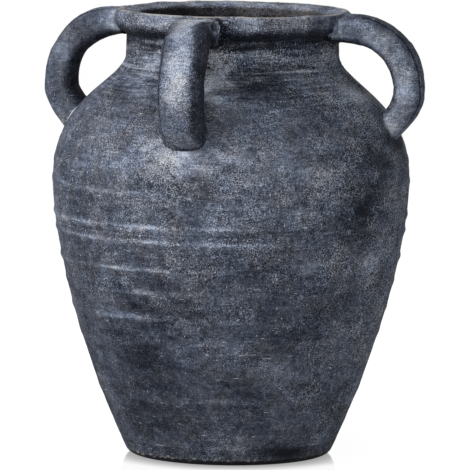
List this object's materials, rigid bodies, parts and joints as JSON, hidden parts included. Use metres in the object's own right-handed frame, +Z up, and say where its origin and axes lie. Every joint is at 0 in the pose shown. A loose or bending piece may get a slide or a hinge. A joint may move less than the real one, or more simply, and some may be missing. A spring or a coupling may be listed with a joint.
{
  "type": "four-handled terracotta vase",
  "caption": "Wide-bellied terracotta vase with a rolled rim and strap handles from rim to shoulder, in a matt washed slate finish; holds stems or stands empty.",
  "frame": {"origin": "middle of the flat resting face under the base", "axes": "+Z up along the vase's turning axis; handles at +X (right), +Y (back), -X (left) and -Y (front)"},
  "size_m": [0.271, 0.271, 0.311],
  "materials": {
    "base_clay": "matt fired clay, dark slate wash, worn at the heel",
    "body_clay": "matt fired clay, slate wash with pale streaks along the throwing rings",
    "rim_clay": "matt fired clay, slate wash rubbed pale on the lip",
    "handle_clay": "matt fired clay, slate wash rubbed pale on the outer faces",
    "slip": "matt pale slip"
  },
  "bodies": {
    "root": {"base": "base_clay", "lower_body": "body_clay", "upper_body": "body_clay", "neck": "body_clay", "rim_band": "rim_clay", "handle_front": "handle_clay", "handle_right": "handle_clay", "handle_back": "handle_clay", "handle_left": "handle_clay", "slip_seam_foot": "slip", "slip_seam_belly": "slip", "slip_seam_neck": "slip", "slip_seam_rim": "slip", "slip_upper_front": "slip", "slip_upper_right": "slip", "slip_upper_back": "slip", "slip_upper_left": "slip", "slip_lower_front": "slip", "slip_lower_right": "slip", "slip_lower_back": "slip", "slip_lower_left": "slip"}
  },
  "joints": []
}
